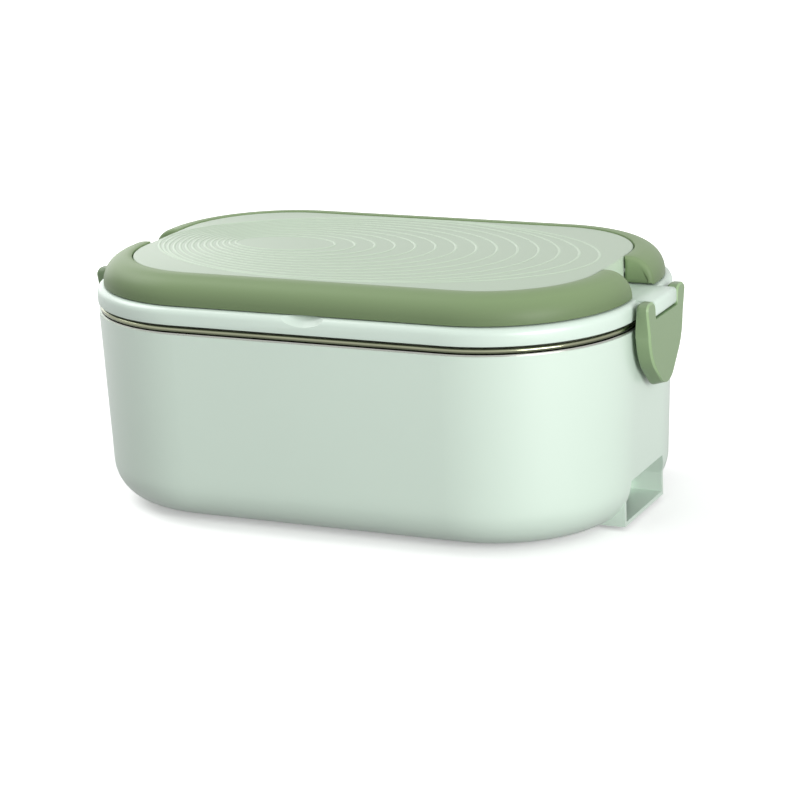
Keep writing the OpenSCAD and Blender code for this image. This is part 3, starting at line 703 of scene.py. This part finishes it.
# %% Fine grain
tone_scale, tone_detail = 14, 3
grain_detail, grain_swing = 2, 0.12
grain_group, grain_in, grain_out = new_group(
    "fine_grain",
    [("Colour", "NodeSocketColor", (0.8, 0.8, 0.8, 1)), ("Drift", "NodeSocketFloat", 0.05),
     ("Grain Scale", "NodeSocketFloat", 2500), ("Roughness", "NodeSocketFloat", 0.4)],
    [("Colour", "NodeSocketColor"), ("Roughness", "NodeSocketFloat"), ("Height", "NodeSocketFloat")])
place = object_place(grain_group)
slow = noise(grain_group, place, tone_scale, tone_detail)
fast = noise(grain_group, place, grain_in.outputs["Grain Scale"], grain_detail)
tinted = toned(grain_group, grain_in.outputs["Colour"], slow, grain_in.outputs["Drift"])
gloss = swing(grain_group, grain_in.outputs["Roughness"], fast, grain_swing)
for label, value in (("Colour", tinted), ("Roughness", gloss), ("Height", fast)):
    grain_group.links.new(value, grain_out.inputs[label])
print("group", grain_group.name, "nodes", len(grain_group.nodes))

# %% Drawn lines
line_detail, line_roughness, line_share = 4, 0.6, 0.6
patch_scale, patch_detail, patch_share = 22, 3, 0.4
drawn_swing = 0.3
drawn_group, drawn_in, drawn_out = new_group(
    "drawn_lines",
    [("Colour", "NodeSocketColor", (0.6, 0.6, 0.6, 1)), ("Drift", "NodeSocketFloat", 0.15),
     ("Across", "NodeSocketVector", (40, 40, 4000)), ("Roughness", "NodeSocketFloat", 0.25)],
    [("Colour", "NodeSocketColor"), ("Roughness", "NodeSocketFloat"), ("Height", "NodeSocketFloat")])
place = object_place(drawn_group)
stretched = times(drawn_group, place, drawn_in.outputs["Across"])
lines = noise(drawn_group, stretched, 1, line_detail, line_roughness)
patches = noise(drawn_group, place, patch_scale, patch_detail)
both = math_node(drawn_group, "ADD", math_node(drawn_group, "MULTIPLY", lines, line_share),
                 math_node(drawn_group, "MULTIPLY", patches, patch_share))
tinted = toned(drawn_group, drawn_in.outputs["Colour"], both, drawn_in.outputs["Drift"])
gloss = swing(drawn_group, drawn_in.outputs["Roughness"], both, drawn_swing)
for label, value in (("Colour", tinted), ("Roughness", gloss), ("Height", lines)):
    drawn_group.links.new(value, drawn_out.inputs[label])
print("group", drawn_group.name, "nodes", len(drawn_group.nodes))

# %% [markdown]
# ## From a group to a finish
# Each material holds its own shader, and one of the two groups feeds it. Plastic and rubber are
# moulded finishes without metal, and the metals are drawn finishes. What doesn't change over the
# surface, such as a coat or a specular level, is set on the shader's own socket.

# %% Material builder
MOULDED_BUMP, DRAWN_BUMP, DRAWN_DEPTH = 0.25, 0.3, 0.01 * MM


def new_material(name, group, values, strength, depth, metallic=0.0, extra=None):
    """A Principled material whose colour, roughness and bump come from a shared group"""
    material = bpy.data.materials.new(name)
    material.use_nodes = True
    tree = material.node_tree
    shader = tree.nodes["Principled BSDF"]
    source = tree.nodes.new("ShaderNodeGroup")
    source.node_tree = group
    for label, value in values.items():
        source.inputs[label].default_value = value
    tree.links.new(source.outputs["Colour"], shader.inputs["Base Color"])
    tree.links.new(source.outputs["Roughness"], shader.inputs["Roughness"])
    relief = tree.nodes.new("ShaderNodeBump")
    relief.inputs["Strength"].default_value = strength
    relief.inputs["Distance"].default_value = depth
    tree.links.new(source.outputs["Height"], relief.inputs["Height"])
    tree.links.new(relief.outputs["Normal"], shader.inputs["Normal"])
    shader.inputs["Metallic"].default_value = metallic
    for label, value in (extra or {}).items():
        shader.inputs[label].default_value = value
    return material


def moulded(name, colour, roughness, drift=0.05, scale=2500, depth=0.02 * MM, extra=None):
    """Plastic, rubber, glaze or paper: fine grain and no metal"""
    values = {"Colour": colour, "Drift": drift, "Grain Scale": scale, "Roughness": roughness}
    return new_material(name, grain_group, values, MOULDED_BUMP, depth, extra=extra)


def drawn(name, colour, roughness, across=(40, 40, 4000), drift=0.2):
    """Metal: lines that are fine across the drawing direction"""
    values = {"Colour": colour, "Drift": drift, "Across": across, "Roughness": roughness}
    return new_material(name, drawn_group, values, DRAWN_BUMP, DRAWN_DEPTH, metallic=1.0)


# %% [markdown]
# Some pieces get painted light and shade in their colour. The shell gets painted shade towards its foot,
# the ripple crests on the panel get a painted highlight over a darker flat, the ring gets painted shade
# towards the ledge, and the latches get a painted highlight on their chamfer between a side and a face
# in painted shade. The container's rolled rim gets a painted reflection of the sage ring above it, dark
# at its edges. A ramp over the height, or over the distance from the middle, scales the finish's colour
# there, so the painted light stays in its place.


# %% Painted light by place
def paint_light_by_place(material, axis, stops):
    """Paints light and shade into a finish's colour: scales it by tones at given distances from the
    middle along an axis
    """
    tree = material.node_tree
    colour = tree.nodes["Principled BSDF"].inputs["Base Color"]
    split = tree.nodes.new("ShaderNodeSeparateXYZ")
    tree.links.new(object_place(tree), split.inputs[0])
    climb = tree.nodes.new("ShaderNodeMapRange")
    tree.links.new(math_node(tree, "ABSOLUTE", split.outputs[axis], 0), climb.inputs["Value"])
    low, high = stops[0][0], stops[-1][0]
    climb.inputs["From Min"].default_value = low
    climb.inputs["From Max"].default_value = high
    ramp = tree.nodes.new("ShaderNodeValToRGB")
    tree.links.new(climb.outputs["Result"], ramp.inputs["Fac"])
    marks = ramp.color_ramp.elements
    for k, (distance, tone) in enumerate(stops):
        if 0 < k < len(stops) - 1:
            mark = marks.new((distance - low) / (high - low))
        else:
            mark = marks[-1 if k else 0]
        mark.color = (*tone, 1) if isinstance(tone, tuple) else (tone, tone, tone, 1)
    tree.links.new(times(tree, colour.links[0].from_socket, ramp.outputs["Color"]), colour)
    return material


def painted_reflection_tint(tone):
    """The olive tint of the painted reflection on the container's rolled rim, at a tone"""
    return 0.7 * tone, 0.72 * tone, 0.54 * tone


roll_z = 85 * MM
# painted shade: the shell's colour is darker towards its foot
shell_painted_shade = ((0, 0.93), (24 * MM, 1))
# painted highlight: the panel's flat is darkened, so the ripple crests and the cap's edge stand lighter
panel_painted_highlight = ((flat_z - 1 * MM, 0.94), (flat_z - 0.2 * MM, 0.8), (flat_z, 0.8), (top_z, 1))
# painted shade: the grips darken towards the ledge
grip_painted_shade = ((ledge_z, 0.66), (ledge_z + 3 * MM, 0.72), (top_z - 2 * MM, 1))
# painted highlight on the latch's chamfer, with painted shade on its sides and outer face
latch_painted_light = ((latch_face - 0.9 * MM, 0.66), (latch_face - 0.7 * MM, 1), (latch_face - 0.1 * MM, 1),
               (latch_face, 0.76))
# painted reflection on the container's rolled rim: olive, dark at its lower and upper edge
rim_painted_reflection = ((roll_z - 0.1 * MM, 1), (roll_z, painted_reflection_tint(0.4)), (roll_z + 0.8 * MM, painted_reflection_tint(0.6)),
                   (roll_z + 1.3 * MM, painted_reflection_tint(1)), (roll_z + 1.8 * MM, painted_reflection_tint(0.8)),
                   (roll_z + 2.3 * MM, painted_reflection_tint(0.5)))

# %% [markdown]
# ## Finishes
# The plastics are satin mouldings in mint and sage, so they differ in colour and grain more than in
# gloss. The steels share the drawn lines, laid around the tubs, and the small inner pieces get the
# finish that their own material has.

# %% Materials
finishes = {
    "mint_shell": moulded("mint_shell", srgb(210, 228, 214), 0.34,
                          extra={"Specular IOR Level": 1.0, "Coat Weight": 0.6, "Coat Roughness": 0.3}),
    "mint_base": moulded("mint_base", srgb(206, 224, 212), 0.55, scale=1800),
    "mint_lid": moulded("mint_lid", srgb(212, 229, 217), 0.36, extra={"Specular IOR Level": 0.9}),
    "mint_panel": moulded("mint_panel", srgb(200, 218, 196), 0.42),
    "sage_grip": moulded("sage_grip", srgb(131, 153, 112), 0.4, drift=0.06, scale=2200,
                         extra={"Specular IOR Level": 0.15}),
    "sage_latch": moulded("sage_latch", srgb(149, 177, 132), 0.36, drift=0.06, scale=2200,
                          depth=0.012 * MM),
    "liner_plastic": moulded("liner_plastic", srgb(228, 234, 226), 0.4),
    "liner_steel": drawn("liner_steel", srgb(196, 196, 190), 0.24),
    "container_steel": drawn("container_steel", srgb(188, 190, 182), 0.16, drift=0.9),
    "screw_steel": drawn("screw_steel", srgb(180, 180, 184), 0.3, across=(900, 900, 900)),
    "pin_steel": drawn("pin_steel", srgb(190, 190, 192), 0.25, across=(900, 900, 900)),
    "zinc_steel": drawn("zinc_steel", srgb(168, 168, 171), 0.4, across=(300, 300, 300)),
    "cast_aluminium": drawn("cast_aluminium", srgb(184, 186, 189), 0.5, across=(600, 600, 600)),
    "element_sheath": moulded("element_sheath", srgb(77, 77, 74), 0.6, drift=0.3, scale=1500),
    "thermostat_can": drawn("thermostat_can", srgb(158, 153, 143), 0.4, across=(500, 500, 500)),
    "fuse_can": drawn("fuse_can", srgb(150, 138, 110), 0.35, across=(800, 800, 800)),
    "ceramic_white": moulded("ceramic_white", srgb(214, 209, 194), 0.7, drift=0.08, scale=1800),
    "mica": moulded("mica", srgb(219, 209, 178), 0.35, drift=0.25, scale=700),
    "inlet_black": moulded("inlet_black", srgb(51, 53, 51), 0.5, scale=1800),
    "pin_brass": drawn("pin_brass", srgb(204, 168, 92), 0.3, across=(900, 900, 900)),
    "foot_rubber": moulded("foot_rubber", srgb(140, 153, 140), 0.85, scale=1500),
    "seal_silicone": moulded("seal_silicone", srgb(224, 230, 224), 0.5, scale=1500),
    "wire_brown": moulded("wire_brown", srgb(115, 71, 41), 0.5, scale=1500),
    "wire_white": moulded("wire_white", srgb(191, 186, 168), 0.7, drift=0.2, scale=1200),
    "wire_blue": moulded("wire_blue", srgb(51, 89, 179), 0.5, scale=1500),
}
paint_light_by_place(finishes["mint_shell"], "Z", shell_painted_shade)
paint_light_by_place(finishes["mint_panel"], "Z", panel_painted_highlight)
paint_light_by_place(finishes["sage_grip"], "Z", grip_painted_shade)
paint_light_by_place(finishes["sage_latch"], "X", latch_painted_light)
paint_light_by_place(finishes["container_steel"], "Z", rim_painted_reflection)
print("finishes", len(finishes))


# %% Finishes on the frame
def finish(piece, slot):
    """One finish for the whole piece"""
    piece.data.materials.clear()
    piece.data.materials.append(finishes[slot])


for entry in frame["record"]["subparts"]:
    finish(nodes[entry["node"]], entry["material_slot"])

# %% [markdown]
# ## Putting the pieces on their bodies
# A modelled piece stands for the frame's node, moves with that node's body, and takes its finish.

# %% Ride and replace
for piece, body, node, slot in (
    (rim, "lid", "lid_base", "mint_lid"),
    (panel, "lid", "lid_panel", "mint_panel"),
    (grip_front, "grip_front", "grip_front", "sage_grip"),
    (grip_rear, "grip_rear", "grip_rear", "sage_grip"),
    (latch_left, "latch_left", "latch_left", "sage_latch"),
    (latch_right, "latch_right", "latch_right", "sage_latch"),
):
    only_nothing()
    finish(piece, slot)
    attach(piece, body)
    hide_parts(node)
    print(piece.name, "stands for", node)

# %% [markdown]
# ## Floor and light
# The floor keeps the box's soft contact shadow. The camera sees it as white, while it throws back
# less light than that, so the box isn't lit too much from below. A glow that rises with the distance
# keeps the floor white further out, and only the camera and reflections see it.

# %% Stage
floor_size = 12
floor_bounce, floor_seen = 0.35, 1
near_reach, far_reach = 0.15, 0.6
near_glow, far_glow = 0.3, 0.65


def white_rays(tree):
    """Masks for camera rays, and for all rays that see the background: camera, gloss and glass"""
    rays = tree.nodes.new("ShaderNodeLightPath").outputs
    mirrored = math_node(tree, "MAXIMUM", rays["Is Glossy Ray"], rays["Is Transmission Ray"])
    return rays["Is Camera Ray"], math_node(tree, "MAXIMUM", rays["Is Camera Ray"], mirrored)


only_nothing()
bpy.ops.mesh.primitive_plane_add(size=floor_size)
floor = start_piece("floor")
floor_material = bpy.data.materials.new("floor")
floor_material.use_nodes = True
tree = floor_material.node_tree
tree.nodes.clear()
seen, bright = white_rays(tree)

matt = tree.nodes.new("ShaderNodeBsdfDiffuse")
extra_white = math_node(tree, "MULTIPLY", seen, floor_seen - floor_bounce)
tree.links.new(math_node(tree, "ADD", extra_white, floor_bounce), matt.inputs["Color"])

spread = tree.nodes.new("ShaderNodeVectorMath")
spread.operation = "LENGTH"
tree.links.new(object_place(tree), spread.inputs[0])
fade = tree.nodes.new("ShaderNodeMapRange")
tree.links.new(spread.outputs["Value"], fade.inputs["Value"])
for label, value in (("From Min", near_reach), ("From Max", far_reach),
                     ("To Min", near_glow), ("To Max", far_glow)):
    fade.inputs[label].default_value = value
glow = tree.nodes.new("ShaderNodeEmission")
tree.links.new(math_node(tree, "MULTIPLY", bright, fade.outputs["Result"]), glow.inputs["Strength"])

surface = tree.nodes.new("ShaderNodeAddShader")
tree.links.new(matt.outputs[0], surface.inputs[0])
tree.links.new(glow.outputs[0], surface.inputs[1])
tree.links.new(surface.outputs[0], tree.nodes.new("ShaderNodeOutputMaterial").inputs["Surface"])
floor.data.materials.append(floor_material)
print("floor", floor_size, "m")

# %% [markdown]
# The world has two levels of white. The plastics get the lower one from all around, and the camera,
# the steel and every gloss see the full one, as they would see a white studio.

# %% World
ambient_level, white_level = 0.5, 1
world = bpy.data.worlds.new("studio")
bpy.context.scene.world = world
world.use_nodes = True
tree = world.node_tree
tree.nodes.clear()
seen, bright = white_rays(tree)
mixed = tree.nodes.new("ShaderNodeMixShader")
tree.links.new(bright, mixed.inputs["Fac"])
for socket, level in zip(mixed.inputs[1:], (ambient_level, white_level)):
    sky = tree.nodes.new("ShaderNodeBackground")
    sky.inputs["Color"].default_value = (1, 1, 1, 1)
    sky.inputs["Strength"].default_value = level
    tree.links.new(sky.outputs[0], socket)
tree.links.new(mixed.outputs[0], tree.nodes.new("ShaderNodeOutputWorld").inputs["Surface"])
print("world levels", ambient_level, white_level)

# %% [markdown]
# Three round soft lamps look at the middle of the box. A broad one low on the right models the
# corners and the latch, a weak one behind on the left lifts the far edge, and one above on the left
# keeps the top of the lid clear. Sizes and places are in metres, and powers in watts.


# %% Lamps
def add_lamp(name, place, size, power):
    """A round soft lamp that faces the middle of the box"""
    data = bpy.data.lights.new(name, "AREA")
    data.shape = "DISK"
    data.size = size
    data.energy = power
    lamp = bpy.data.objects.new(name, data)
    bpy.context.scene.collection.objects.link(lamp)
    lamp.location = place
    lamp.rotation_euler = look_at(place, box_middle)
    print("lamp", name, power, "W")


box_middle = (0, 0, 0.05)
add_lamp("key_right", (1.5, -1.02, 0.46), 1.1, 27.5)
add_lamp("back_left", (-1.35, 1.1, 0.5), 1.2, 4.5)
add_lamp("above_left", (-1.3, 0.1, 1.3), 1.2, 15)

# %% Colour view
bpy.context.scene.view_settings.view_transform = "Standard"
